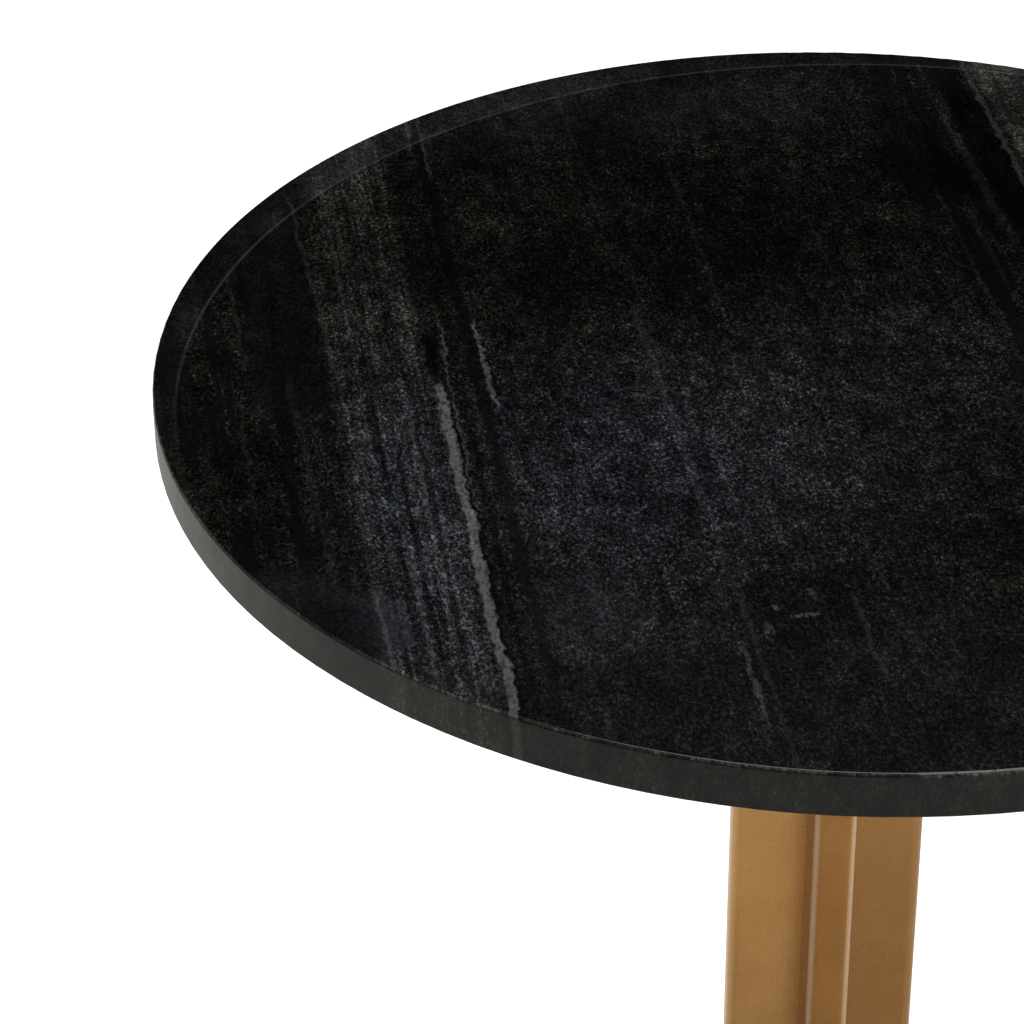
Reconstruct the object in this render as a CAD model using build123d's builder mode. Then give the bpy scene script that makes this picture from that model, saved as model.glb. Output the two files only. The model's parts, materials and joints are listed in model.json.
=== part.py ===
from build123d import *
from math import cos, radians
import os

os.makedirs("parts", exist_ok=True)

# Round pedestal table: a disc of dark stone on a plated steel column, on a round base plate.
# The column is four tubular fins welded to a square core, so its section is a plus sign.
# Millimetres, +Z up. The origin is on the floor, in the middle of the base.

# Whole table
table_height = 550.0
top_diameter = 450.0
base_diameter = 320.0

# Stone top
top_thickness = 15.0
top_edge_radius = 1.1
top_underside_chamfer = 0.6

# Column fins, each a flat tube that stands out from the core
fin_count = 4
fin_thickness = 15.0
fin_depth = 26.0
fin_corner_radius = 3.5
fin_wall = 1.5
fin_smallest_inner_radius = 0.5
core_wall = 1.5

# Mounting plate welded on the column, and the soft disc between it and the stone
plate_diameter = 220.0
plate_thickness = 4.0
plate_edge_radius = 1.0
gasket_thickness = 1.5
gasket_margin = 4.0
vent_radius = 2.5

# Fixings of the top: inserts bonded in the stone, and screws with two washers each
top_screw_count = 4
top_screw_circle_radius = 85.0
top_screw_start_angle = 45.0
screw_radius = 3.0
screw_hole_clearance = 0.3
thread_clearance = 0.05
insert_radius = 4.5
insert_length = 9.0
insert_hole_spare = 1.0
insert_groove_depth = 0.6
insert_groove_width = 1.2
insert_bore_chamfer = 0.5
flat_washer_radius = 6.0
flat_washer_thickness = 1.6
spring_washer_radius = 5.5
spring_washer_thickness = 1.6
spring_washer_gap = 1.5
top_screw_reach = 7.5
button_head_radius = 5.25
button_head_height = 3.3
button_crown_radius = 3.4
button_crown_bulge = 0.35
button_crown_middle_share = 0.4

# Base plate and its fixings
base_thickness = 8.0
base_edge_radius = 2.5
base_underside_chamfer = 0.8
base_screw_reach = 10.0
sunk_head_radius = 6.0
sunk_head_recess = 0.3
sunk_head_angle = 90.0
plug_height = 16.0
plug_bore_spare = 2.0

# Sockets in the screw heads
socket_width = 4.0
socket_depth = 1.9

# Rubber pads let into the underside of the base
pad_count = 6
pad_start_angle = 30.0
pad_radius = 14.0
pad_stand = 3.0
pad_seat_depth = 1.0
pad_edge_chamfer = 0.8
pad_edge_margin = 9.0

# Heights worked out from the sizes above
base_underside = pad_stand
column_bottom = base_underside + base_thickness
stone_underside = table_height - top_thickness
plate_top = stone_underside - gasket_thickness
column_top = plate_top - plate_thickness
column_height = column_top - column_bottom
flat_washer_base = column_top - flat_washer_thickness
spring_washer_base = flat_washer_base - spring_washer_thickness

# Places worked out from the sizes above
fin_middle_radius = fin_thickness / 2 + fin_depth / 2
fin_inner_radius = max(fin_corner_radius - fin_wall, fin_smallest_inner_radius)
screw_hole_radius = screw_radius + screw_hole_clearance
thread_bore_radius = screw_radius + thread_clearance
socket_corner_radius = socket_width / 2 / cos(radians(30))
pad_circle_radius = base_diameter / 2 - pad_edge_margin - pad_radius
sunk_head_floor = base_underside + sunk_head_recess
sunk_head_height = sunk_head_radius - screw_radius
sunk_seat_radius = sunk_head_radius + sunk_head_recess

top_screw_places = PolarLocations(
    top_screw_circle_radius, top_screw_count, start_angle=top_screw_start_angle
)
fin_places = PolarLocations(fin_middle_radius, fin_count)
pad_places = PolarLocations(pad_circle_radius, pad_count, start_angle=pad_start_angle)


# Stone disc, with a blind hole for each insert in its underside
with BuildPart() as marble_top:
    with BuildSketch(Plane.XY.offset(stone_underside)):
        Circle(top_diameter / 2)
    extrude(amount=top_thickness)
    fillet(marble_top.edges().group_by(Axis.Z)[-1], top_edge_radius)
    chamfer(marble_top.edges().group_by(Axis.Z)[0], top_underside_chamfer)
    with BuildSketch(Plane.XY.offset(stone_underside)):
        with top_screw_places:
            Circle(insert_radius)
    extrude(amount=insert_length + insert_hole_spare, mode=Mode.SUBTRACT)

# Threaded insert: a sleeve with a groove round its middle that keys into the adhesive
with BuildPart() as insert:
    with BuildSketch(Plane.XY.offset(stone_underside)):
        Circle(insert_radius)
        Circle(thread_bore_radius, mode=Mode.SUBTRACT)
    extrude(amount=insert_length)
    mouth = insert.edges().filter_by(GeomType.CIRCLE).group_by(Axis.Z)[0].sort_by(SortBy.RADIUS)[0]
    chamfer(mouth, insert_bore_chamfer)
    with BuildSketch(Plane.XY.offset(stone_underside + (insert_length - insert_groove_width) / 2)):
        Circle(insert_radius)
        Circle(insert_radius - insert_groove_depth, mode=Mode.SUBTRACT)
    extrude(amount=insert_groove_width, mode=Mode.SUBTRACT)

with BuildPart() as top_inserts:
    with top_screw_places:
        add(insert.part)

# Soft disc that beds the stone on the plate
with BuildPart() as plate_gasket:
    with BuildSketch(Plane.XY.offset(plate_top)):
        Circle(plate_diameter / 2 - gasket_margin)
        with top_screw_places:
            Circle(screw_hole_radius, mode=Mode.SUBTRACT)
    extrude(amount=gasket_thickness)

# Mounting plate, with a screw hole under each insert and a vent over each fin
with BuildPart() as top_plate:
    with BuildSketch(Plane.XY.offset(column_top)):
        Circle(plate_diameter / 2)
        with top_screw_places:
            Circle(screw_hole_radius, mode=Mode.SUBTRACT)
        with fin_places:
            Circle(vent_radius, mode=Mode.SUBTRACT)
    extrude(amount=plate_thickness)
    rim = top_plate.edges().filter_by(GeomType.CIRCLE).sort_by(SortBy.RADIUS)[-2:]
    fillet(rim, plate_edge_radius)

with BuildPart() as top_flat_washers:
    with BuildSketch(Plane.XY.offset(flat_washer_base)):
        with top_screw_places:
            Circle(flat_washer_radius)
            Circle(screw_hole_radius, mode=Mode.SUBTRACT)
    extrude(amount=flat_washer_thickness)

# Split washers: rings with a narrow cut on their outer side
with BuildPart() as top_spring_washers:
    with BuildSketch(Plane.XY.offset(spring_washer_base)):
        with top_screw_places:
            Circle(spring_washer_radius)
            Circle(screw_hole_radius, mode=Mode.SUBTRACT)
            with Locations((spring_washer_radius / 2, 0)):
                Rectangle(spring_washer_radius, spring_washer_gap, mode=Mode.SUBTRACT)
    extrude(amount=spring_washer_thickness)

# Button-head screw, head down: the crown's arc runs from the flat centre to the head's rim
top_screw_tip = stone_underside + top_screw_reach
button_face = spring_washer_base - button_head_height
crown_middle_radius = (button_head_radius + button_crown_radius) / 2 + button_crown_bulge
crown_middle_height = button_face + button_head_height * button_crown_middle_share
with BuildPart() as top_screw:
    with BuildSketch(Plane.XZ):
        with BuildLine():
            Polyline(
                (button_crown_radius, button_face),
                (0, button_face),
                (0, top_screw_tip),
                (screw_radius, top_screw_tip),
                (screw_radius, spring_washer_base),
                (button_head_radius, spring_washer_base),
            )
            ThreePointArc(
                (button_head_radius, spring_washer_base),
                (crown_middle_radius, crown_middle_height),
                (button_crown_radius, button_face),
            )
        make_face()
    revolve(axis=Axis.Z)
    with BuildSketch(Plane.XY.offset(button_face)):
        RegularPolygon(socket_corner_radius, 6)
    extrude(amount=socket_depth, mode=Mode.SUBTRACT)

with BuildPart() as top_screws:
    with top_screw_places:
        add(top_screw.part)

# Square core tube on the column's axis
with BuildPart() as column_core:
    with BuildSketch(Plane.XY.offset(column_bottom)):
        Rectangle(fin_thickness, fin_thickness)
        Rectangle(
            fin_thickness - 2 * core_wall,
            fin_thickness - 2 * core_wall,
            mode=Mode.SUBTRACT,
        )
    extrude(amount=column_height)

# Fins: closed tubes, rounded on their outer corners and square where they meet the core
fins = {}
for quarter, fin_name in enumerate(("right_fin", "back_fin", "left_fin", "front_fin")):
    fin_plane = Plane.XY.offset(column_bottom).rotated((0, 0, 360 / fin_count * quarter))
    with BuildPart() as fin:
        with BuildSketch(fin_plane) as fin_section:
            with Locations((fin_middle_radius, 0)):
                Rectangle(fin_depth, fin_thickness)
            fillet(fin_section.vertices().group_by(Axis.X)[-1], fin_corner_radius)
            offset(
                fin_section.face(),
                amount=-fin_wall,
                kind=Kind.INTERSECTION,
                mode=Mode.SUBTRACT,
            )
        extrude(amount=column_height)
    fins[fin_name] = fin

# Tapped plug welded in the foot of each fin, flush with the fin's end
with BuildPart() as fin_plug:
    with BuildSketch(Plane.XY.offset(column_bottom)) as plug_section:
        Rectangle(fin_depth - 2 * fin_wall, fin_thickness - 2 * fin_wall)
        fillet(plug_section.vertices(), fin_inner_radius)
    extrude(amount=plug_height)
    with BuildSketch(Plane.XY.offset(column_bottom)):
        Circle(thread_bore_radius)
    extrude(amount=base_screw_reach + plug_bore_spare, mode=Mode.SUBTRACT)

with BuildPart() as fin_plugs:
    with fin_places:
        add(fin_plug.part)

# Base disc: sunk screw holes under the plugs, and round seats for the pads
with BuildPart() as base_plate:
    with BuildSketch(Plane.XY.offset(base_underside)):
        Circle(base_diameter / 2)
    extrude(amount=base_thickness)
    fillet(base_plate.edges().group_by(Axis.Z)[-1], base_edge_radius)
    chamfer(base_plate.edges().group_by(Axis.Z)[0], base_underside_chamfer)
    with Locations(Plane.XY.offset(base_underside).rotated((180, 0, 0))):
        with PolarLocations(fin_middle_radius, fin_count):
            CounterSinkHole(
                screw_hole_radius,
                sunk_seat_radius,
                counter_sink_angle=sunk_head_angle,
            )
    with BuildSketch(Plane.XY.offset(base_underside)):
        with pad_places:
            Circle(pad_radius)
    extrude(amount=pad_seat_depth, mode=Mode.SUBTRACT)

# Countersunk screw, head down
with BuildPart() as base_screw:
    with BuildSketch(Plane.XZ):
        with BuildLine():
            Polyline(
                (0, sunk_head_floor),
                (sunk_head_radius, sunk_head_floor),
                (screw_radius, sunk_head_floor + sunk_head_height),
                (screw_radius, column_bottom + base_screw_reach),
                (0, column_bottom + base_screw_reach),
                close=True,
            )
        make_face()
    revolve(axis=Axis.Z)
    with BuildSketch(Plane.XY.offset(sunk_head_floor)):
        RegularPolygon(socket_corner_radius, 6)
    extrude(amount=socket_depth, mode=Mode.SUBTRACT)

with BuildPart() as base_screws:
    with fin_places:
        add(base_screw.part)

# Rubber pads that stand on the floor
with BuildPart() as base_pads:
    with BuildSketch():
        with pad_places:
            Circle(pad_radius)
    extrude(amount=pad_stand + pad_seat_depth)
    chamfer(base_pads.edges().group_by(Axis.Z)[0], pad_edge_chamfer)

pieces = {
    "marble_top": marble_top,
    "top_inserts": top_inserts,
    "plate_gasket": plate_gasket,
    "top_plate": top_plate,
    "top_flat_washers": top_flat_washers,
    "top_spring_washers": top_spring_washers,
    "top_screws": top_screws,
    "column_core": column_core,
    **fins,
    "fin_plugs": fin_plugs,
    "base_plate": base_plate,
    "base_screws": base_screws,
    "base_pads": base_pads,
}
for label, piece in pieces.items():
    piece.part.label = label
    export_step(piece.part, f"parts/{label}.step")
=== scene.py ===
import bmesh
import bpy
import json
import math
import random
from mathutils import Matrix, Vector


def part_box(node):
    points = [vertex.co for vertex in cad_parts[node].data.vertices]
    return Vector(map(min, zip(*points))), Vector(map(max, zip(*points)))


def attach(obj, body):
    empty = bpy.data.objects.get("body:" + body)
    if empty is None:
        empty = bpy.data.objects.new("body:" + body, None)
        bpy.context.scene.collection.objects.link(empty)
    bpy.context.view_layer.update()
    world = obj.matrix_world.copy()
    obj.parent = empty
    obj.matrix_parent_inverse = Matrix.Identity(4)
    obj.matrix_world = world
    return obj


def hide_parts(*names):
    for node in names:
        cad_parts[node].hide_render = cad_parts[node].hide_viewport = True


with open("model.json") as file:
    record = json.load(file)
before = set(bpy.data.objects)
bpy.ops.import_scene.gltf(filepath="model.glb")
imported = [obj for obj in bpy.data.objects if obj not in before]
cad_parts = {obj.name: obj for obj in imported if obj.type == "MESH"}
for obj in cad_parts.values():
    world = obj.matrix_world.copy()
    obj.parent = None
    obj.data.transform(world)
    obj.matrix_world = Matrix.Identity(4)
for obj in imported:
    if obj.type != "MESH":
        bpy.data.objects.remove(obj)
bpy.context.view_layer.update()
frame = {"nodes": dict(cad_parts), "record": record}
nodes = frame["nodes"]
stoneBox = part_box("marble_top")
topCentre = Vector((0, 0, stoneBox[1].z))
topRadius = stoneBox[1].x
print("frame loaded:", len(nodes), "nodes")


# helpers for node trees

def addNode(tree, kind, inputs=None, **settings):
    node = tree.nodes.new(kind)
    for name, value in settings.items():
        setattr(node, name, value)
    for name, value in (inputs or {}).items():
        feed(tree, node.inputs[name], value)
    return node


def feed(tree, socket, value):
    if isinstance(value, bpy.types.NodeSocket):
        tree.links.new(value, socket)
    else:
        socket.default_value = value


def maths(tree, operation, *values, clamp=False):
    node = addNode(tree, "ShaderNodeMath", operation=operation, use_clamp=clamp)
    for place, value in enumerate(values):
        feed(tree, node.inputs[place], value)
    return node.outputs[0]


def ramp(tree, value, low, high, outLow=0.0, outHigh=1.0):
    inputs = {"Value": value, "From Min": low, "From Max": high, "To Min": outLow, "To Max": outHigh}
    node = addNode(tree, "ShaderNodeMapRange", inputs, interpolation_type="SMOOTHSTEP")
    return node.outputs["Result"]


def noise(tree, place, scale, detail=2.0, roughness=0.5):
    inputs = {"Vector": place, "Scale": scale, "Detail": detail, "Roughness": roughness}
    return addNode(tree, "ShaderNodeTexNoise", inputs).outputs["Fac"]


def stretch(tree, place, scale, turn=(0, 0, 0), shift=(0, 0, 0)):
    inputs = {"Vector": place, "Scale": scale, "Rotation": turn, "Location": shift}
    return addNode(tree, "ShaderNodeMapping", inputs).outputs["Vector"]


def mixColour(tree, factor, first, second, blend="MIX"):
    node = addNode(tree, "ShaderNodeMix", data_type="RGBA", blend_type=blend, clamp_factor=True)
    feed(tree, node.inputs[0], factor)
    feed(tree, node.inputs[6], first)
    feed(tree, node.inputs[7], second)
    return node.outputs[2]


def distanceOf(tree, place):
    return addNode(tree, "ShaderNodeVectorMath", {0: place}, operation="LENGTH").outputs["Value"]


def newGroup(name, takes, gives):
    group = bpy.data.node_groups.new(name, "ShaderNodeTree")
    for label, kind, value in takes:
        socket = group.interface.new_socket(label, in_out="INPUT", socket_type=kind)
        if value is not None:
            socket.default_value = value
    for label, kind in gives:
        group.interface.new_socket(label, in_out="OUTPUT", socket_type=kind)
    return group, group.nodes.new("NodeGroupInput").outputs, group.nodes.new("NodeGroupOutput").inputs


def useGroup(tree, group, **inputs):
    node = tree.nodes.new("ShaderNodeGroup")
    node.node_tree = group
    for name, value in inputs.items():
        feed(tree, node.inputs[name], value)
    return node.outputs


def newMaterial(name, colour, roughness, metallic=0.0, **shaderInputs):
    material = bpy.data.materials.new(name)
    material.use_nodes = True
    material.diffuse_color = (*colour, 1)
    tree = material.node_tree
    shader = tree.nodes["Principled BSDF"]
    shader.inputs["Base Color"].default_value = (*colour, 1)
    shader.inputs["Roughness"].default_value = roughness
    shader.inputs["Metallic"].default_value = metallic
    for label, value in shaderInputs.items():
        shader.inputs[label.replace("_", " ")].default_value = value
    return material, tree, shader


def objectPlace(tree):
    return addNode(tree, "ShaderNodeTexCoord").outputs["Object"]


def bump(tree, shader, height, strength, distance):
    node = addNode(tree, "ShaderNodeBump", {"Height": height, "Strength": strength, "Distance": distance})
    tree.links.new(node.outputs["Normal"], shader.inputs["Normal"])


# the stone top. Four numbers in a row, here and below, are a ramp: from, to, and what it gives at each end

mm = 1000.0             # in a metre

stone = {
    "veinTurn": math.radians(7.3),      # the veins run this far off the front-to-back line
    "groundTone": -6.12,                # natural logarithm of how much light the plain ground gives back
    "palest": 0.12,                     # no crystal gives back more than this
    "warmGrain": (1.05, 1.02, 0.72),
    "coolGrain": (0.88, 0.98, 1.20),
    "coolness": 0.15,                   # the share of cool grains
    "smoothCoolness": 0.35,             # and how much more of them smooth stone has
    "cream": (0.064, 0.065, 0.061),
    "paleBlue": (0.049, 0.054, 0.062),
    "smoothHides": 0.8,                 # how much of the grain is gone where the stone is smooth
    "striped": 0.45,                    # how strong the fine lines along the grain are
    "specular": 0.25,
    "roughness": 0.20,
    "roughSpread": 0.10,
    "bump": (0.10, 0.00004),            # strength, and depth in metres
}

# The rim is satin, and its upper arris is painted paler, partly as a chipped edge and partly as a painted
# highlight
rimFinish = {
    "facing": (0.80, 0.99),
    "roughness": 0.34,
    "coatRoughness": 0.34,
    "gloss": 0.27,
    "glossSpread": 0.5,
    "tone": 1.10,                       # it scatters more light than the polished face
    "even": 0.4,                        # and its bands are that much fainter
    "smooth": 0.40,
    "tint": (1.12, 1.06, 0.86),
    "arrisFacing": (0.10, 0.45),
    "arrisChipsAndHighlight": 1.3,
}

# A painted highlight: a faint bluish line near the far rim, in mm, and a painted lighter, smoother margin
# outside it, for light on an edge the slab's shape lacks
farHighlight = {
    "centre": (12.5, -15.5),
    "radius": 229.0,
    "colour": (0.013, 0.015, 0.024),
    "width": (0.15, 0.80),
    "fadesIn": (-40.0, 70.0),           # along the grain
    "uneven": (0.30, 0.65, 0.55, 1.4),
    "marginEdge": 0.6,
    "marginPaintedLight": 0.55,
    "marginSmooth": 0.6,
}

# Towards the left and the right the crystals gather in strings, with smooth stone between them
strings = {
    "left": (-190.0, -160.0, 1.0, 0.12),
    "right": (38.0, 58.0),
    "gaps": (0.43, 0.53, 1.0, 0.0),
    "tone": -0.35,
}

# How the stone varies: how fast across, along and down, per mm, where the pattern starts, how fine it is,
# and how far it moves what it acts on. The level ones aren't tilted in the slab
grains = {
    "bend": dict(rate=(0.012, 0.016, 0.01), fine=(1.0, 0.5), amount=2.0),
    "wave": dict(rate=(0.06, 0.055, 0.02), start=(6, 2, 8), fine=(2.0, 0.5), amount=3.2),
    "ragged": dict(rate=(0.30, 0.20, 0.05), fine=(3.0, 0.6), amount=4.6),
    "crystals": dict(rate=(0.92, 0.62, 0.50), fine=(2.0, 0.62), amount=8.0),
    "flakes": dict(rate=(2.1, 1.25, 1.0), start=(1, 6, 3), fine=(1.0, 0.5), amount=5.8),
    "clumps": dict(rate=(0.17, 0.11, 0.10), start=(7, 3, 1), fine=(3.0, 0.6), amount=3.8),
    "clouds": dict(rate=(0.034, 0.020, 0.02), start=(2, 5, 9), fine=(3.0, 0.6), amount=3.4),
    "lines": dict(rate=(0.60, 0.011, 0.01), start=(4, 1, 0.37), fine=(3.0, 0.6), amount=3.4, level=True),
    "hue": dict(rate=(0.80, 0.60, 0.50), start=(3, 8, 4), fine=(2.0, 0.6), amount=5.0),
    "breaks": dict(rate=(0.75, 0.24, 0.1), fine=(3.0, 0.6)),
    "strings": dict(rate=(0.150, 0.013, 0.01), start=(5, 3, 0.61), fine=(3.0, 0.62), level=True),
}
grainTilt = (0.6, 0.45, 0.3)

# Veins, in mm: where each lies across the grain, how far it leans in 100 mm, its width, and where it
# starts and ends along the grain
creamVeins = [
    dict(across=-133.6, lean=-0.3, width=3.6, start=-190, end=5, strength=0.95),
    dict(across=-130.2, lean=1.5, width=1.0, start=-72, end=52, strength=0.33),
    dict(across=-158.6, lean=0.4, width=1.8, start=24, end=176, strength=0.07),
    dict(across=-169.0, lean=-4.4, width=1.7, start=36, end=140, strength=0.10),
    dict(across=-164.4, lean=-4.8, width=1.6, start=-72, end=44, strength=0.09),
    dict(across=-164.6, lean=-1.0, width=1.9, start=-172, end=-108, strength=0.26),
    dict(across=-153.2, lean=-2.0, width=2.0, start=-176, end=-84, strength=0.18),
    dict(across=-145.2, lean=0.2, width=1.8, start=-150, end=-10, strength=0.12),
    dict(across=-148.4, lean=-0.4, width=1.5, start=-120, end=-10, strength=0.10),
    dict(across=-123.8, lean=1.0, width=1.5, start=158, end=224, strength=0.22),
    dict(across=-119.4, lean=1.0, width=1.4, start=136, end=222, strength=0.18),
    dict(across=-195.0, lean=-2.0, width=1.8, start=16, end=92, strength=0.06),
    dict(across=-197.2, lean=-2.0, width=1.5, start=-76, end=6, strength=0.05),
    dict(across=-179.2, lean=-4.0, width=2.2, start=-108, end=22, strength=0.05),
    dict(across=-66.0, lean=-1.0, width=1.7, start=92, end=232, strength=0.04),
    dict(across=-35.4, lean=0.0, width=1.6, start=14, end=160, strength=0.05),
    dict(across=5.6, lean=0.0, width=1.6, start=40, end=100, strength=0.04),
    dict(across=54.5, lean=-1.0, width=1.5, start=-6, end=112, strength=0.04),
    dict(across=70.5, lean=-2.0, width=3.2, start=60, end=186, strength=0.045),
    dict(across=62.0, lean=-2.0, width=1.8, start=20, end=100, strength=0.03),
    dict(across=86.4, lean=1.0, width=2.4, start=92, end=240, strength=0.21),
]
blueVeins = [
    dict(across=-117.2, lean=-2.0, width=1.7, start=-20, end=44, strength=0.66),
    dict(across=-115.6, lean=-1.0, width=1.4, start=-70, end=-8, strength=0.10),
    dict(across=-62.8, lean=-1.2, width=3.2, start=-90, end=48, strength=0.13),
    dict(across=-60.4, lean=-1.2, width=2.4, start=-240, end=-80, strength=0.10),
    dict(across=-64.2, lean=3.0, width=1.9, start=-200, end=-150, strength=0.34),
    dict(across=-27.4, lean=0.0, width=1.9, start=-182, end=-130, strength=0.13),
    dict(across=-17.2, lean=0.0, width=1.8, start=-140, end=-96, strength=0.10),
    dict(across=-108.5, lean=4.0, width=1.9, start=-206, end=-176, strength=0.12),
]

# Bands along the grain, in mm. They lighten or darken the ground, some are smooth, without crystals, and
# one is striped
bands = [
    dict(low=-167, high=-136, soft=4.0, start=-240, end=240, lighten=1.10, smooth=0.0, striped=0.9),
    dict(low=90, high=250, soft=2.5, start=90, end=240, lighten=1.80, smooth=0.35),
    dict(low=86.5, high=92, soft=1.5, start=92, end=240, lighten=0.75, smooth=0.3),
    dict(low=-193, high=-169, soft=3.5, start=-20, end=130, lighten=0.15, smooth=0.65),
    dict(low=-135.6, high=-132.2, soft=0.9, start=2, end=38, lighten=-1.6, smooth=0.5),
    dict(low=-132.0, high=-130.6, soft=0.8, start=-190, end=-14, lighten=-1.5, smooth=0.5),
    dict(low=-128.2, high=-126.2, soft=0.9, start=-190, end=-20, lighten=-0.8, smooth=0.3),
    dict(low=-122.6, high=-119.0, soft=1.2, start=-190, end=190, lighten=-0.50, smooth=0.75),
    dict(low=74, high=84, soft=2.5, start=70, end=190, lighten=-0.8, smooth=0.4),
    dict(low=-144, high=-142.6, soft=0.8, start=-170, end=40, lighten=-0.7, smooth=0.2),
    dict(low=-157.5, high=-156, soft=0.8, start=-140, end=60, lighten=-0.7, smooth=0.2),
    dict(low=-151.5, high=-150, soft=0.9, start=-200, end=-30, lighten=-0.6, smooth=0.2),
]

# Patches, in mm: middle across and along the grain, reach each way, and how blue they are
patches = [
    # the first three, broad, pale and bluish, are partly clouding in the stone and partly a painted haze of
    # gloss
    dict(middle=(-88, -62), reach=(64, 74), soft=0.75, lighten=1.05, smooth=0.0, blue=0.9),
    dict(middle=(-20, -62), reach=(62, 66), soft=0.80, lighten=0.55, smooth=0.0, blue=0.7),
    dict(middle=(30, 4), reach=(70, 40), soft=0.80, lighten=0.50, smooth=0.0, blue=0.5),
    dict(middle=(-150, -80), reach=(22, 110), soft=0.70, lighten=0.15, smooth=0.0, blue=0.8),
    dict(middle=(-20, 95), reach=(90, 62), soft=0.40, lighten=-0.30, smooth=0.0, blue=0.0),
    dict(middle=(52, 132), reach=(13, 56), soft=0.40, lighten=-0.40, smooth=0.45, blue=0.0),
    dict(middle=(-190, -128), reach=(32, 30), soft=0.12, lighten=0.75, smooth=0.80, blue=0.6),
    dict(middle=(-107, -133), reach=(18, 22), soft=0.55, lighten=0.72, smooth=0.45, blue=0.6),
    dict(middle=(-60, -195), reach=(150, 62), soft=0.30, lighten=0.60, smooth=0.30, blue=0.2),
    dict(middle=(-60, 192), reach=(110, 34), soft=0.60, lighten=0.78, smooth=0.50, blue=0.2),
    dict(middle=(-200, -30), reach=(34, 110), soft=0.40, lighten=0.25, smooth=0.0, blue=0.0),
    dict(middle=(-40, -141), reach=(21, 20), soft=0.60, lighten=-0.60, smooth=0.0, blue=0.0),
]

# Single pale flecks that lie across the grain, in mm
flecks = [
    dict(middle=(-43.0, -143.5), reach=(4.2, 1.0), strength=0.52),
    dict(middle=(-51.0, -138.5), reach=(1.2, 1.3), strength=0.42),
    dict(middle=(-38.5, -133.0), reach=(0.9, 3.2), strength=0.22),
    dict(middle=(-55.5, -150.0), reach=(1.2, 4.0), strength=0.30),
]
patchRagged = 1.3       # how far the clouds push a patch's edge, in reaches
fleckGrain = (0.38, 0.58, 0.05, 1.2)
fleckSoft = 0.5

# What all veins share. Bands fade at their ends as veins do
veinShape = {
    "ends": 16.0,           # mm
    "edge": 0.45,           # share of the half width that is full colour
    "narrowest": 0.35,      # half width at the ends, in widths, and how much more it is in the middle
    "swells": 0.25,
    "tips": (0.0, 0.4),
    "breaks": (0.32, 0.60, 0.45, 1.15),
    "sparkle": (0.30, 0.70, 0.65, 1.35),
}


def makeVeinGroup():
    takes = [
        ("Across", "NodeSocketFloat", 0), ("Along", "NodeSocketFloat", 0), ("Breaks", "NodeSocketFloat", 1),
        ("Centre", "NodeSocketFloat", 0), ("Lean", "NodeSocketFloat", 0), ("Width", "NodeSocketFloat", 2),
        ("Start", "NodeSocketFloat", -50), ("End", "NodeSocketFloat", 50),
        ("Strength", "NodeSocketFloat", 0.1),
    ]
    group, take, give = newGroup("Vein", takes, [("Mask", "NodeSocketFloat")])
    middle = maths(group, "MULTIPLY", maths(group, "ADD", take["Start"], take["End"]), 0.5)
    leaning = maths(group, "MULTIPLY", maths(group, "SUBTRACT", take["Along"], middle), take["Lean"])
    centre = maths(group, "MULTIPLY_ADD", leaning, 0.01, take["Centre"])    # the lean is in 100 mm
    aside = maths(group, "ABSOLUTE", maths(group, "SUBTRACT", take["Across"], centre))
    rise = ramp(group, take["Along"], take["Start"], maths(group, "ADD", take["Start"], veinShape["ends"]))
    ending = maths(group, "SUBTRACT", take["End"], veinShape["ends"])
    fall = ramp(group, take["Along"], ending, take["End"], 1.0, 0.0)
    length = maths(group, "MULTIPLY", rise, fall)
    half = maths(group, "MULTIPLY_ADD", length, veinShape["swells"], veinShape["narrowest"])
    half = maths(group, "MULTIPLY", take["Width"], half)
    core = ramp(group, aside, maths(group, "MULTIPLY", half, veinShape["edge"]), half, 1.0, 0.0)
    tips = ramp(group, length, *veinShape["tips"])
    mask = maths(group, "MULTIPLY", maths(group, "MULTIPLY", core, tips), take["Breaks"])
    feed(group, give["Mask"], maths(group, "MULTIPLY", mask, take["Strength"]))
    return group


def makeBandGroup():
    takes = [
        ("Across", "NodeSocketFloat", 0), ("Along", "NodeSocketFloat", 0), ("Low", "NodeSocketFloat", 0),
        ("High", "NodeSocketFloat", 1), ("Soft", "NodeSocketFloat", 1),
        ("Start", "NodeSocketFloat", -50), ("End", "NodeSocketFloat", 50),
    ]
    group, take, give = newGroup("Band", takes, [("Mask", "NodeSocketFloat")])
    rise = ramp(group, take["Across"], maths(group, "SUBTRACT", take["Low"], take["Soft"]),
                maths(group, "ADD", take["Low"], take["Soft"]))
    fall = ramp(group, take["Across"], maths(group, "SUBTRACT", take["High"], take["Soft"]),
                maths(group, "ADD", take["High"], take["Soft"]), 1.0, 0.0)
    begin = ramp(group, take["Along"], take["Start"], maths(group, "ADD", take["Start"], veinShape["ends"]))
    ending = maths(group, "SUBTRACT", take["End"], veinShape["ends"])
    finish = ramp(group, take["Along"], ending, take["End"], 1.0, 0.0)
    sides = maths(group, "MULTIPLY", rise, fall)
    feed(group, give["Mask"], maths(group, "MULTIPLY", sides, maths(group, "MULTIPLY", begin, finish)))
    return group


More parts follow.
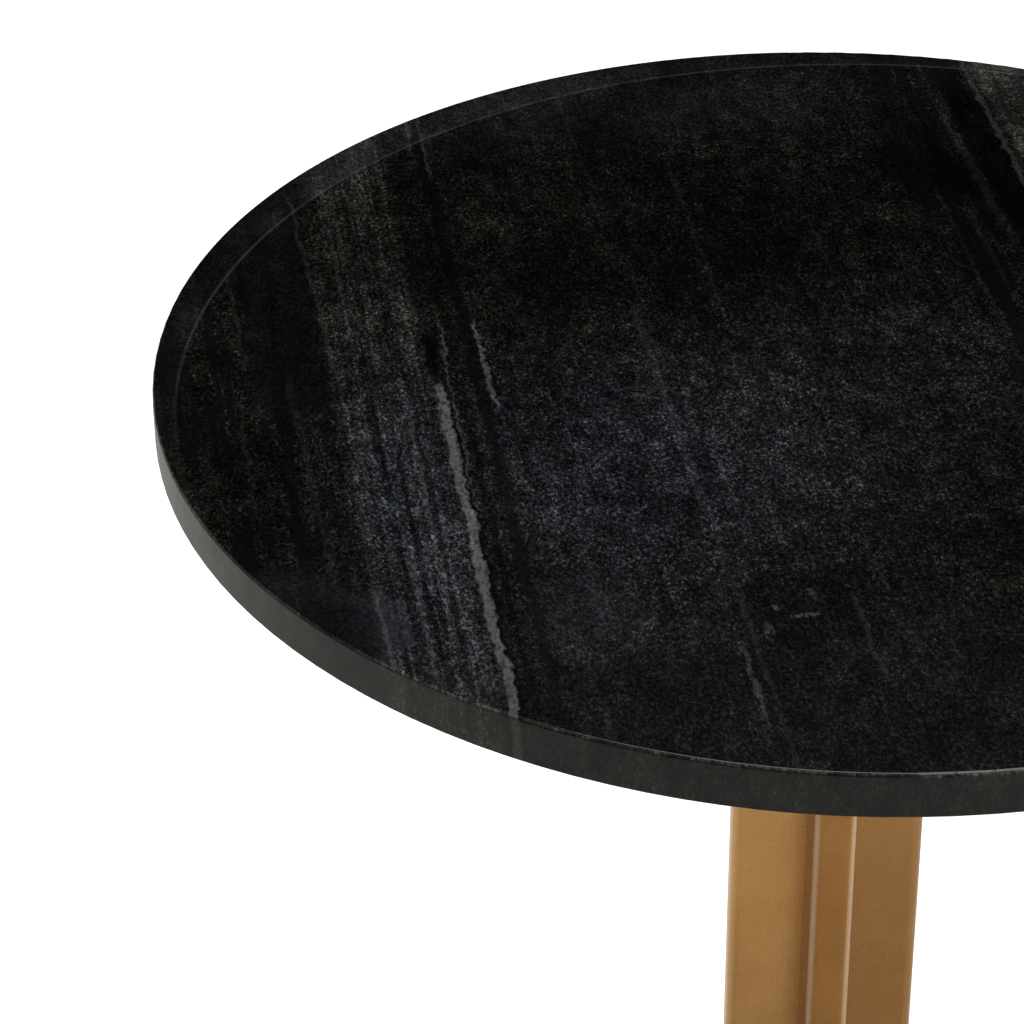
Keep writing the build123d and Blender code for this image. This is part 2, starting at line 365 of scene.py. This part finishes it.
def makePatchGroup():
    takes = [
        ("Across", "NodeSocketFloat", 0), ("Along", "NodeSocketFloat", 0), ("Ragged", "NodeSocketFloat", 0),
        ("Middle Across", "NodeSocketFloat", 0), ("Middle Along", "NodeSocketFloat", 0),
        ("Reach Across", "NodeSocketFloat", 50), ("Reach Along", "NodeSocketFloat", 50),
        ("Soft", "NodeSocketFloat", 0.5),
    ]
    group, take, give = newGroup("Patch", takes, [("Mask", "NodeSocketFloat")])
    across = maths(group, "SUBTRACT", take["Across"], take["Middle Across"])
    across = maths(group, "DIVIDE", across, take["Reach Across"])
    along = maths(group, "SUBTRACT", take["Along"], take["Middle Along"])
    along = maths(group, "DIVIDE", along, take["Reach Along"])
    square = maths(group, "MULTIPLY_ADD", across, across, maths(group, "MULTIPLY", along, along))
    distance = maths(group, "ADD", maths(group, "SQRT", square), take["Ragged"])
    inner = maths(group, "SUBTRACT", 1.0, take["Soft"])
    outer = maths(group, "ADD", 1.0, take["Soft"])
    feed(group, give["Mask"], ramp(group, distance, inner, outer, 1.0, 0.0))
    return group


def addVeins(tree, group, veins, spot, breaks):
    total = 0.0
    for vein in veins:
        mask = useGroup(tree, group, Across=spot["across"], Along=spot["along"], Breaks=breaks,
                        Centre=vein["across"], Lean=vein["lean"], Width=vein["width"],
                        Start=vein["start"], End=vein["end"], Strength=vein["strength"])["Mask"]
        total = maths(tree, "ADD", mask, total)
    return total


def addPatch(tree, group, patch, spot, soft):
    return useGroup(tree, group, **{
        "Across": spot["across"], "Along": spot["along"], "Ragged": spot["edge"], "Soft": soft,
        "Middle Across": patch["middle"][0], "Middle Along": patch["middle"][1],
        "Reach Across": patch["reach"][0], "Reach Along": patch["reach"][1]})["Mask"]


def addColour(tree, base, share, colour):
    return mixColour(tree, 1.0, base, mixColour(tree, share, (0, 0, 0, 1), (*colour, 1)), "ADD")


def spread(tree, value, amount):
    return maths(tree, "MULTIPLY_ADD", value, amount, -amount / 2)


def strongest(tree, mask, share, other):
    return maths(tree, "MAXIMUM", maths(tree, "MULTIPLY", mask, share), other)


def stoneSpot(tree, place):
    millimetres = stretch(tree, place, (mm, mm, mm), turn=(0, 0, -stone["veinTurn"]))
    split = addNode(tree, "ShaderNodeSeparateXYZ", {"Vector": millimetres}).outputs
    spot = {"along": split["Y"]}
    for name, grain in grains.items():
        tilt = (0, 0, 0) if grain.get("level") else grainTilt
        stretched = stretch(tree, millimetres, grain["rate"], tilt, grain.get("start", (0, 0, 0)))
        spot[name] = noise(tree, stretched, 1.0, *grain["fine"])
    across = split["X"]
    for name in ("bend", "wave", "ragged"):     # the grain bends a little, and its edges are ragged
        across = maths(tree, "ADD", across, shifted(tree, spot, name))
    spot["across"] = across
    spot["edge"] = spread(tree, spot["clouds"], patchRagged)
    return spot


def shifted(tree, spot, name):
    return spread(tree, spot[name], grains[name]["amount"])


def stoneGround(tree, spot):
    left = ramp(tree, spot["across"], *strings["left"])
    reached = maths(tree, "MAXIMUM", left, ramp(tree, spot["across"], *strings["right"]))
    smoothness = maths(tree, "MULTIPLY", reached, ramp(tree, spot["strings"], *strings["gaps"]))
    tone = maths(tree, "MULTIPLY_ADD", smoothness, strings["tone"], stone["groundTone"])
    blue = 0.0
    striped = stone["striped"]
    bandGroup = makeBandGroup()
    for band in bands:
        mask = useGroup(tree, bandGroup, Across=spot["across"], Along=spot["along"], Low=band["low"],
                        High=band["high"], Soft=band["soft"], Start=band["start"], End=band["end"])["Mask"]
        tone = maths(tree, "MULTIPLY_ADD", mask, band["lighten"], tone)
        if band["smooth"]:
            smoothness = strongest(tree, mask, band["smooth"], smoothness)
        if "striped" in band:
            striped = maths(tree, "MULTIPLY_ADD", mask, band["striped"], striped)
    patchGroup = makePatchGroup()
    for patch in patches:
        mask = addPatch(tree, patchGroup, patch, spot, patch["soft"])
        tone = maths(tree, "MULTIPLY_ADD", mask, patch["lighten"], tone)
        if patch["smooth"]:
            smoothness = strongest(tree, mask, patch["smooth"], smoothness)
        if patch["blue"]:
            blue = strongest(tree, mask, patch["blue"], blue)
    return tone, smoothness, blue, striped, patchGroup


def paintedRimHighlight(tree, place, spot):
    # painted highlight: a faint line on a circle near the far rim, and a painted lighter margin outside it
    shift = (-farHighlight["centre"][0], -farHighlight["centre"][1], 0)
    fromCentre = stretch(tree, place, (mm, mm, 0), shift=shift)
    reach = distanceOf(tree, fromCentre)
    edge = farHighlight["marginEdge"]
    paintedMargin = ramp(tree, reach, farHighlight["radius"] - edge, farHighlight["radius"] + edge)
    aside = maths(tree, "ABSOLUTE", maths(tree, "SUBTRACT", reach, farHighlight["radius"]))
    line = maths(tree, "MULTIPLY", ramp(tree, aside, *farHighlight["width"], 1.0, 0.0),
                 ramp(tree, spot["along"], *farHighlight["fadesIn"]))
    return paintedMargin, maths(tree, "MULTIPLY", line, ramp(tree, spot["clumps"], *farHighlight["uneven"]))


def stoneVeins(tree, base, spot, patchGroup):
    veinGroup = makeVeinGroup()
    breaks = ramp(tree, spot["breaks"], *veinShape["breaks"])
    sparkle = maths(tree, "MULTIPLY", breaks, ramp(tree, spot["crystals"], *veinShape["sparkle"]))
    cream = addVeins(tree, veinGroup, creamVeins, spot, sparkle)
    for fleck in flecks:
        mask = addPatch(tree, patchGroup, fleck, spot, fleckSoft)
        mask = maths(tree, "MULTIPLY", mask, ramp(tree, spot["crystals"], *fleckGrain))
        cream = maths(tree, "MULTIPLY_ADD", mask, fleck["strength"], cream)
    base = addColour(tree, base, cream, stone["cream"])
    return addColour(tree, base, addVeins(tree, veinGroup, blueVeins, spot, sparkle), stone["paleBlue"])


def makeStone():
    material, tree, shader = newMaterial("black marble", (0.012, 0.012, 0.012), stone["roughness"],
                                         Specular_IOR_Level=stone["specular"],
                                         Coat_Roughness=rimFinish["coatRoughness"])
    place = objectPlace(tree)
    spot = stoneSpot(tree, place)
    tone, smoothness, blue, striped, patchGroup = stoneGround(tree, spot)
    # the painted highlight line near the far rim, and its painted lighter margin
    paintedMargin, line = paintedRimHighlight(tree, place, spot)
    tone = maths(tree, "MULTIPLY_ADD", paintedMargin, farHighlight["marginPaintedLight"], tone)
    smoothness = strongest(tree, paintedMargin, farHighlight["marginSmooth"], smoothness)

    # the top face is polished and the rim is satin
    normal = addNode(tree, "ShaderNodeNewGeometry").outputs["Normal"]
    upward = addNode(tree, "ShaderNodeSeparateXYZ", {"Vector": normal}).outputs["Z"]
    rim = ramp(tree, upward, *rimFinish["facing"], 1.0, 0.0)
    rimTone = rimFinish["even"] * stone["groundTone"] + rimFinish["tone"]
    tone = maths(tree, "MULTIPLY", tone, maths(tree, "MULTIPLY_ADD", rim, -rimFinish["even"], 1.0))
    tone = maths(tree, "MULTIPLY_ADD", rim, rimTone, tone)
    # the arris is painted paler: partly a chipped edge, partly a painted highlight
    arris = maths(tree, "MULTIPLY", ramp(tree, upward, *rimFinish["arrisFacing"]), rim)
    tone = maths(tree, "MULTIPLY_ADD", arris, rimFinish["arrisChipsAndHighlight"], tone)
    smoothness = strongest(tree, rim, rimFinish["smooth"], smoothness)

    # all the grains together, pale and dark, weaker where the stone is smooth
    grain = maths(tree, "ADD", shifted(tree, spot, "crystals"), shifted(tree, spot, "clumps"))
    grain = maths(tree, "ADD", grain, shifted(tree, spot, "flakes"))
    grain = maths(tree, "MULTIPLY_ADD", shifted(tree, spot, "lines"), striped, grain)
    shown = maths(tree, "MULTIPLY_ADD", smoothness, -stone["smoothHides"], 1.0)
    grain = maths(tree, "MULTIPLY", grain, shown)
    tone = maths(tree, "ADD", tone, maths(tree, "ADD", grain, shifted(tree, spot, "clouds")))
    ground = maths(tree, "MINIMUM", maths(tree, "EXPONENT", tone), stone["palest"])

    cool = maths(tree, "MULTIPLY_ADD", smoothness, stone["smoothCoolness"],
                 maths(tree, "ADD", blue, stone["coolness"]))
    tint = maths(tree, "ADD", shifted(tree, spot, "hue"), cool, clamp=True)
    tinted = mixColour(tree, tint, (*stone["warmGrain"], 1), (*stone["coolGrain"], 1))
    tinted = mixColour(tree, rim, tinted, (*rimFinish["tint"], 1))
    base = mixColour(tree, 1.0, tinted, ground, "MULTIPLY")
    base = stoneVeins(tree, base, spot, patchGroup)
    tree.links.new(addColour(tree, base, line, farHighlight["colour"]), shader.inputs["Base Color"])

    finish = ramp(tree, rim, 0.0, 1.0, stone["roughness"], rimFinish["roughness"])
    finish = maths(tree, "ADD", finish, spread(tree, spot["crystals"], stone["roughSpread"]))
    tree.links.new(finish, shader.inputs["Roughness"])
    gloss = maths(tree, "ADD", spread(tree, spot["clumps"], rimFinish["glossSpread"]), rimFinish["gloss"])
    tree.links.new(maths(tree, "MULTIPLY", rim, gloss, clamp=True), shader.inputs["Coat Weight"])
    bump(tree, shader, spot["crystals"], *stone["bump"])
    return material


# plated and turned metal

brass = {
    "colour": (0.72, 0.390, 0.140),
    "dark": (0.64, 0.340, 0.114),
    "roughness": 0.28,
    "lacquer": 0.12,
    "baseRoughness": 0.40,              # the base plate is scuffed and duller
    "baseMetallic": 0.62,
    "baseLines": 1.4,
    "cornerHighlightAndShadeColours": {              # painted highlights make the corners paler, and painted shade makes the right fin's corners darker
        "left_fin": (0.68, 0.42, 0.20),
        "back_fin": (0.60, 0.38, 0.18),
        "front_fin": (0.58, 0.41, 0.26),
        "right_fin": (0.30, 0.165, 0.065),
    },
    "corners": (0.0383, 0.0389),        # how far out both ways the painted corner colour starts and is at full strength
    "cornerGrain": (0.30, 0.62, 0.45, 0.85),
    "sideShadeTint": (0.58, 0.44, 0.26),     # painted shade on the left side of the front fin, in the corner beside the left fin
    "sideFacing": (-0.92, -0.68, 1.0, 0.0),
    "sideDeepens": (0.015, 0.036, 0.5, 1.0),
    # painted light and shade: each fin's plating is scaled by its own factor, the left fin lit and the
    # others darker
    "paintedFinShading": {
        "left_fin": (0.99, 0.99, 1.02),
        "back_fin": (0.90, 0.88, 0.84),
        "front_fin": (0.65, 0.58, 0.50),
        "right_fin": (0.675, 0.64, 0.65),
    },
}

# The brush marks run up and down, crossed by fainter ones, over soft blotches
brushing = {
    "marks": (2600, 2600, 60),
    "crossMarks": (120, 120, 1500),
    "markShare": 0.65,
    "blotch": 34.0,
    "blotchShade": (0.3, 0.7),
    "roughSpread": 0.16,
    "bump": (0.12, 0.00006),            # strength, and depth in metres
    "coatRoughness": 0.18,
}


def makeBrushedGroup():
    takes = [("Place", "NodeSocketVector", None), ("Lines", "NodeSocketFloat", 1.0)]
    gives = [("Grain", "NodeSocketFloat"), ("Blotch", "NodeSocketFloat")]
    group, take, give = newGroup("Brushed", takes, gives)
    marks = noise(group, stretch(group, take["Place"], brushing["marks"]), take["Lines"], 3.0, 0.6)
    cross = noise(group, stretch(group, take["Place"], brushing["crossMarks"]), take["Lines"], 2.0, 0.6)
    crossed = maths(group, "MULTIPLY", cross, 1.0 - brushing["markShare"])
    feed(group, give["Grain"], maths(group, "MULTIPLY_ADD", marks, brushing["markShare"], crossed))
    feed(group, give["Blotch"], noise(group, take["Place"], brushing["blotch"], 3.0, 0.55))
    return group


def makeMetal(name, colour, dark, roughness, group, lines=1.0, fin=None, metallic=1.0, lacquer=0.0):
    material, tree, shader = newMaterial(name, colour, roughness, metallic=metallic, Coat_Weight=lacquer,
                                         Coat_Roughness=brushing["coatRoughness"])
    brushed = useGroup(tree, group, Place=objectPlace(tree), Lines=lines)
    shade = ramp(tree, brushed["Blotch"], *brushing["blotchShade"])
    plating = mixColour(tree, shade, (*dark, 1), (*colour, 1))
    if fin:
        plating = finPlatingWithPaintedLight(tree, plating, brushed["Grain"], fin)
    tree.links.new(plating, shader.inputs["Base Color"])
    rough = maths(tree, "ADD", spread(tree, brushed["Grain"], brushing["roughSpread"]), roughness)
    tree.links.new(rough, shader.inputs["Roughness"])
    bump(tree, shader, brushed["Grain"], *brushing["bump"])
    return material


def finPlatingWithPaintedLight(tree, plating, grain, fin):
    split = addNode(tree, "ShaderNodeSeparateXYZ", {"Vector": objectPlace(tree)}).outputs
    out = maths(tree, "ADD", maths(tree, "ABSOLUTE", split["X"]), maths(tree, "ABSOLUTE", split["Y"]))
    # painted highlights on the fins' corners and painted shade on the right fin's corners, broken up by the
    # grain
    corner = ramp(tree, out, *brass["corners"])
    cornerLightAndShade = maths(tree, "MULTIPLY", corner, ramp(tree, grain, *brass["cornerGrain"]))
    plating = mixColour(tree, cornerLightAndShade, plating, (*brass["cornerHighlightAndShadeColours"][fin], 1))
    if fin != "front_fin":
        return plating
    # painted shade: the front fin's left side is darkened, most towards its outer edge
    normal = addNode(tree, "ShaderNodeNewGeometry").outputs["Normal"]
    sideways = addNode(tree, "ShaderNodeSeparateXYZ", {"Vector": normal}).outputs["X"]
    paintedSideShade = ramp(tree, sideways, *brass["sideFacing"])
    paintedSideShade = maths(tree, "MULTIPLY", paintedSideShade, ramp(tree, out, *brass["sideDeepens"]))
    tinted = mixColour(tree, 1.0, plating, (*brass["sideShadeTint"], 1), "MULTIPLY")
    return mixColour(tree, paintedSideShade, plating, tinted)


# Foam and rubber, with pores
soft = {
    "paler": 1.9,
    "poreRange": (0.2, 0.8),
    "roughSpread": 0.1,
    "bumpStrength": 0.3,
}


def makeSoft(name, colour, roughness, cell, depth):
    material, tree, shader = newMaterial(name, colour, roughness)
    pores = noise(tree, objectPlace(tree), cell, 3.0, 0.6)
    paler = tuple(part * soft["paler"] for part in colour)
    tree.links.new(mixColour(tree, pores, (*colour, 1), (*paler, 1)), shader.inputs["Base Color"])
    smoothest, roughest = roughness - soft["roughSpread"], roughness + soft["roughSpread"]
    rough = ramp(tree, pores, *soft["poreRange"], smoothest, roughest)
    tree.links.new(rough, shader.inputs["Roughness"])
    bump(tree, shader, pores, soft["bumpStrength"], depth)
    return material


# One line for each plain finish: its name, colours, roughness and how close its brush marks or pores are
metals = {
    "brass_plating": ("brushed brass plating", brass["colour"], brass["dark"], brass["roughness"], 1.0),
    "insert_brass": ("turned brass", (0.72, 0.55, 0.26), (0.60, 0.44, 0.19), 0.28, 2.0),
    "zinc_steel": ("zinc plated steel", (0.62, 0.63, 0.66), (0.48, 0.50, 0.54), 0.32, 2.0),
    "raw_steel": ("raw steel", (0.40, 0.40, 0.41), (0.26, 0.25, 0.24), 0.48, 1.5),
}
softs = {
    "soft_foam": ("closed-cell foam", (0.018, 0.018, 0.019), 0.85, 1800.0, 0.0002),
    "pad_rubber": ("moulded rubber", (0.022, 0.022, 0.022), 0.70, 900.0, 0.0001),
}

brushedGroup = makeBrushedGroup()
finishes = {"black_marble": makeStone()}
for slot, (name, colour, dark, roughness, lines) in metals.items():
    finishes[slot] = makeMetal(name, colour, dark, roughness, brushedGroup, lines)
for slot, settings in softs.items():
    finishes[slot] = makeSoft(*settings)
for part in frame["record"]["subparts"]:
    slots = nodes[part["node"]].data.materials
    slots.clear()
    slots.append(finishes[part["material_slot"]])
# lit and shaded copies of the brass plating, one for each fin: painted light and shade
for fin, tint in brass["paintedFinShading"].items():
    colour = tuple(part * share for part, share in zip(brass["colour"], tint))
    dark = tuple(part * share for part, share in zip(brass["dark"], tint))
    plating = makeMetal("brushed brass " + fin, colour, dark, brass["roughness"], brushedGroup,
                        fin=fin, lacquer=brass["lacquer"])
    nodes[fin].data.materials[0] = plating
nodes["base_plate"].data.materials[0] = makeMetal(
    "brushed brass base", brass["colour"], brass["dark"], brass["baseRoughness"], brushedGroup,
    brass["baseLines"], metallic=brass["baseMetallic"], lacquer=brass["lacquer"])
print("materials made:", len(finishes) + len(brass["paintedFinShading"]) + 1)


# pieces with more shape than the plain solids

def addPiece(name, mesh, slot):
    piece = bpy.data.objects.new(name, mesh)
    bpy.context.scene.collection.objects.link(piece)
    piece.data.materials.clear()
    piece.data.materials.append(finishes[slot])
    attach(piece, "root")
    return piece


def meshFrom(shape, name):
    bmesh.ops.recalc_face_normals(shape, faces=shape.faces)
    for face in shape.faces:
        face.smooth = True
    mesh = bpy.data.meshes.new(name)
    shape.to_mesh(mesh)
    shape.free()
    mesh.set_sharp_from_angle(angle=math.radians(40))
    return mesh


weld = {
    "size": 0.0019,         # radius of the bead
    "step": 0.0011,         # from one ripple to the next
    "roundness": 3,
    "ripple": 0.16,
    "uneven": 0.06,
    "wander": 0.00025,
    "seed": 4,
}


def makeWeld():
    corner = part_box("column_core")[1]
    half, top = corner.x, corner.z
    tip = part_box("right_fin")[1].x
    turns = []
    for quarter in range(4):
        turn = Matrix.Rotation(math.radians(90 * quarter), 3, "Z")
        for place in ((half, -half, top), (tip, -half, top), (tip, half, top)):
            turns.append(turn @ Vector(place))
    chance = random.Random(weld["seed"])
    line = []
    for before, after in zip(turns, turns[1:] + turns[:1]):
        steps = max(2, round((after - before).length / weld["step"]))
        for step in range(steps):
            drift = Vector((chance.uniform(-1, 1), chance.uniform(-1, 1), 0)) * weld["wander"]
            line.append(before.lerp(after, step / steps) + drift)
    curve = bpy.data.curves.new("column_weld", "CURVE")
    curve.dimensions = "3D"
    curve.bevel_depth = weld["size"]
    curve.bevel_resolution = weld["roundness"]
    spline = curve.splines.new("POLY")
    spline.points.add(len(line) - 1)
    spline.use_cyclic_u = True
    for index, (point, place) in enumerate(zip(spline.points, line)):
        point.co = (*place, 1)
        ripple = weld["ripple"] if index % 2 else -weld["ripple"]
        point.radius = 1 + ripple + chance.uniform(-weld["uneven"], weld["uneven"])
    holder = bpy.data.objects.new("weld_path", curve)
    mesh = bpy.data.meshes.new_from_object(holder)
    bpy.data.objects.remove(holder)
    for polygon in mesh.polygons:
        polygon.use_smooth = True
    addPiece("column_weld", mesh, "brass_plating")


pads = {
    "count": 6,
    "grooves": 4,
    "grooveDepth": 0.0007,
    "grooveWidth": 0.0016,
    "grooveSlope": 0.0004,
    "plainMiddle": 0.003,       # radius without grooves
    "plainRim": 0.004,
    "edge": 0.0008,
    "roundShare": 0.3,          # how far in and up the middle of a rounded edge is
    "seatBand": 0.0002,
    "segments": 64,
}


def makePads():
    foot = next(mount for mount in frame["record"]["mounts"] if mount["name"] == "floor_face")["pos_m"]
    circle = math.hypot(foot[0], foot[1])
    firstAngle = math.atan2(foot[1], foot[0])
    low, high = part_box("base_pads")
    radius = (high.y - low.y) / 2 - circle      # one pad stands straight to the side
    shape = bmesh.new()
    points = [shape.verts.new((across, 0, height)) for across, height in padOutline(radius, low.z, high.z)]
    edges = [shape.edges.new(pair) for pair in zip(points, points[1:])]
    bmesh.ops.spin(shape, geom=points + edges, cent=(0, 0, 0), axis=(0, 0, 1), angle=math.tau,
                   steps=pads["segments"], use_merge=True)
    bmesh.ops.remove_doubles(shape, verts=shape.verts, dist=1e-6)
    pad = list(shape.verts) + list(shape.edges) + list(shape.faces)
    copies = [pad] + [bmesh.ops.duplicate(shape, geom=pad)["geom"] for place in range(1, pads["count"])]
    for place, copy in enumerate(copies):
        verts = [item for item in copy if isinstance(item, bmesh.types.BMVert)]
        turn = Matrix.Rotation(firstAngle + math.tau * place / pads["count"], 3, "Z")
        bmesh.ops.translate(shape, verts=verts, vec=turn @ Vector((circle, 0, 0)))
    piece = addPiece("rubber_pads", meshFrom(shape, "rubber_pads"), "pad_rubber")
    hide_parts("base_pads")


def padOutline(radius, foot, top):
    # half a pad's outline, from the middle of its foot to the middle of its top
    outline = [(0.0, foot)]
    pitch = (radius - pads["plainRim"]) / pads["grooves"]
    slope, width, roof = pads["grooveSlope"], pads["grooveWidth"], foot + pads["grooveDepth"]
    for groove in range(pads["grooves"]):
        start = pads["plainMiddle"] + pitch * groove
        end = start + width
        outline += [(start, foot), (start + slope, roof), (end - slope, roof), (end, foot)]
    edge = pads["edge"]
    near = edge * pads["roundShare"]
    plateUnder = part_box("base_plate")[0].z
    outline += [(radius - edge, foot), (radius - near, foot + near), (radius, foot + edge)]
    return outline + [(radius, plateUnder - pads["seatBand"]), (radius, top), (0.0, top)]


makeWeld()
makePads()
print("pieces made")


# floor, sky and lights

studio = {
    "floorSize": 14.0,
    "floorColour": (0.90, 0.88, 0.82),
    "floorGlow": 0.60,
    "farGlow": 1.0,         # and where the floor meets the sky
    "glowReach": (0.9, 4.0),
    "skyColour": (1, 1, 1, 1),
    "skyForDiffuse": 0.0484,
    "skyForCamera": 1.0,
    "skyLow": 0.0407,
    "skyHigh": 0.0006,
    "skyFades": (0.10, 0.34),
}

# Where each softbox stands, what it points at, its size, its power, and whether it shows in gloss
softboxes = {
    "overhead": ((0.0, 0.2, 2.6), (0, 0, 0.4), (2.4, 2.4), 42, False),
    "back_right": ((0.35, 0.55, 2.3), (0, 0, 0.5), (1.5, 0.7), 22, True),
    "right_strip": ((0.62, -0.05, 0.20), (0, 0, 0.36), (0.10, 0.30), 0.35, True),
}


def makeFloor():
    bpy.ops.mesh.primitive_grid_add(x_subdivisions=2, y_subdivisions=2, size=studio["floorSize"])
    floor = bpy.context.object
    floor.name = "studio_floor"
    material, tree, shader = newMaterial("pale floor", studio["floorColour"], 0.9)
    shader.inputs["Specular IOR Level"].default_value = 0.1
    shader.inputs["Emission Color"].default_value = (1, 1, 1, 1)
    away = distanceOf(tree, objectPlace(tree))
    glow = ramp(tree, away, *studio["glowReach"], studio["floorGlow"], studio["farGlow"])
    seen = addNode(tree, "ShaderNodeLightPath").outputs["Is Camera Ray"]
    feed(tree, shader.inputs["Emission Strength"], maths(tree, "MULTIPLY", seen, glow))
    floor.data.materials.append(material)


def makeSky():
    world = bpy.data.worlds.new("studio")
    bpy.context.scene.world = world
    world.use_nodes = True
    tree = world.node_tree
    background = tree.nodes["Background"]
    background.inputs["Color"].default_value = studio["skyColour"]
    path = addNode(tree, "ShaderNodeLightPath").outputs
    direction = addNode(tree, "ShaderNodeTexCoord").outputs["Generated"]
    height = addNode(tree, "ShaderNodeSeparateXYZ", {"Vector": direction}).outputs["Z"]
    glossy = ramp(tree, height, *studio["skyFades"], studio["skyLow"], studio["skyHigh"])
    strength = maths(tree, "MULTIPLY", path["Is Glossy Ray"], glossy)
    strength = maths(tree, "MULTIPLY_ADD", path["Is Diffuse Ray"], studio["skyForDiffuse"], strength)
    strength = maths(tree, "MULTIPLY_ADD", path["Is Camera Ray"], studio["skyForCamera"], strength)
    feed(tree, background.inputs["Strength"], strength)


def makeSoftbox(name, place, aim, size, power, seenInGloss):
    data = bpy.data.lights.new(name, "AREA")
    data.shape = "RECTANGLE"
    data.size, data.size_y = size
    data.energy = power
    light = bpy.data.objects.new(name, data)
    bpy.context.scene.collection.objects.link(light)
    light.location = place
    light.rotation_euler = (Vector(aim) - Vector(place)).to_track_quat("-Z", "Y").to_euler()
    light.visible_glossy = seenInGloss
    light.visible_camera = False


makeFloor()
makeSky()
for name, settings in softboxes.items():
    makeSoftbox(name, *settings)
print("studio lit")


# the camera looks down from above the front, a little left of the front fin, and aims left of the table

view = {
    "focal": 3642.5,        # against the frame's width below
    "frameWidth": 1024.0,
    "sensorWidth": 36.0,
    "distance": 5.2711,     # from the middle of the top, in radii of the top
    "height": 0.5304,       # radians above the top
    "aside": 0.1084,        # radians left of the front fin
    "pitch": 0.5751,
    "yaw": -0.1073,
    "roll": -0.0091,
}


def makeCamera():
    data = bpy.data.cameras.new("camera")
    data.sensor_width = view["sensorWidth"]
    data.lens = view["focal"] / view["frameWidth"] * view["sensorWidth"]
    camera = bpy.data.objects.new("camera", data)
    bpy.context.scene.collection.objects.link(camera)
    reach = view["distance"] * topRadius
    offset = Vector((0, -math.cos(view["height"]), math.sin(view["height"]))) * reach
    offset.rotate(Matrix.Rotation(-view["aside"], 3, "Z"))
    turn = Matrix.Rotation(-view["yaw"] - view["aside"], 4, "Z")
    tilt = Matrix.Rotation(math.pi / 2 - view["pitch"], 4, "X")
    roll = Matrix.Rotation(view["roll"], 4, "Z")
    camera.matrix_world = Matrix.Translation(topCentre + offset) @ turn @ tilt @ roll
    bpy.context.scene.camera = camera


makeCamera()
bpy.context.scene.view_settings.view_transform = "Standard"

print("done")
